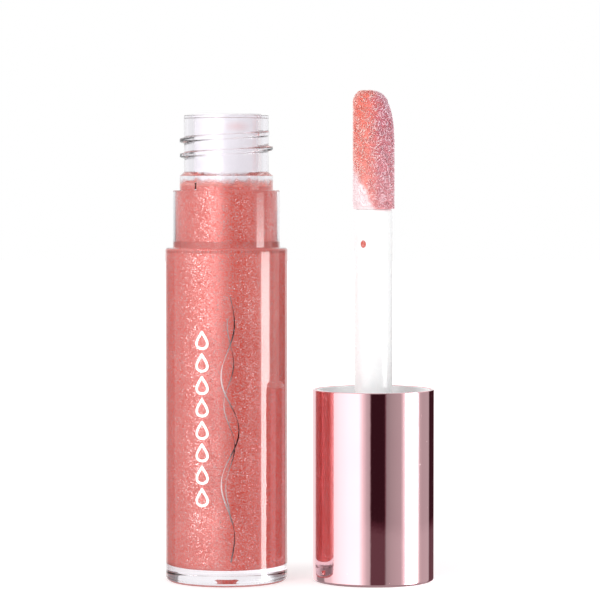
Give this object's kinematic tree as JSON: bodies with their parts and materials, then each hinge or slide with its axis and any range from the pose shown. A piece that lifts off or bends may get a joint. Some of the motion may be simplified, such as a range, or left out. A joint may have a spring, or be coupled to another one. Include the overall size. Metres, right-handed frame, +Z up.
{
  "type": "lip gloss tube",
  "caption": "Clear thick-walled cylindrical bottle with threaded neck, wiper and gloss fill, beside its metallised screw cap standing inverted with stem and flocked doe-foot applicator.",
  "frame": {"origin": "centre of the flat underside of the bottle", "axes": "+Z up along the bottle's axis, +X towards the cap that stands beside it, +Y away from the viewer"},
  "size_m": [0.0375, 0.017, 0.0685],
  "materials": {
    "clear_petg": "clear, polished",
    "frosted_ldpe": "translucent, frosted",
    "gloss_fill": "pearly coral liquid with fine shimmer",
    "rose_metal": "vacuum-metallised rose plastic, mirror bright",
    "white_pp": "white, glossy",
    "liner_foam": "matte foam liner",
    "flock_fibre": "short nylon flock, wet with gloss on one side"
  },
  "bodies": {
    "bottle": {"bottle": "clear_petg", "wiper": "frosted_ldpe", "gloss": "gloss_fill"},
    "washer": {"seal_washer": "liner_foam"},
    "cap": {"overcap": "rose_metal", "inner_cap": "white_pp", "stem": "white_pp", "tip_core": "white_pp", "flocking": "flock_fibre"}
  },
  "joints": [
    {"name": "cap_turnover", "type": "hinge", "parent": "bottle", "child": "washer", "pos_m": [0.01025, 0, 0.0676], "axis": [0, -1, 0], "range_deg": [0, 180]},
    {"name": "cap_twist", "type": "hinge", "parent": "washer", "child": "cap", "pos_m": [0.0205, 0, 0], "axis": [0, 0, -1], "range_deg": [0, 750]}
  ]
}
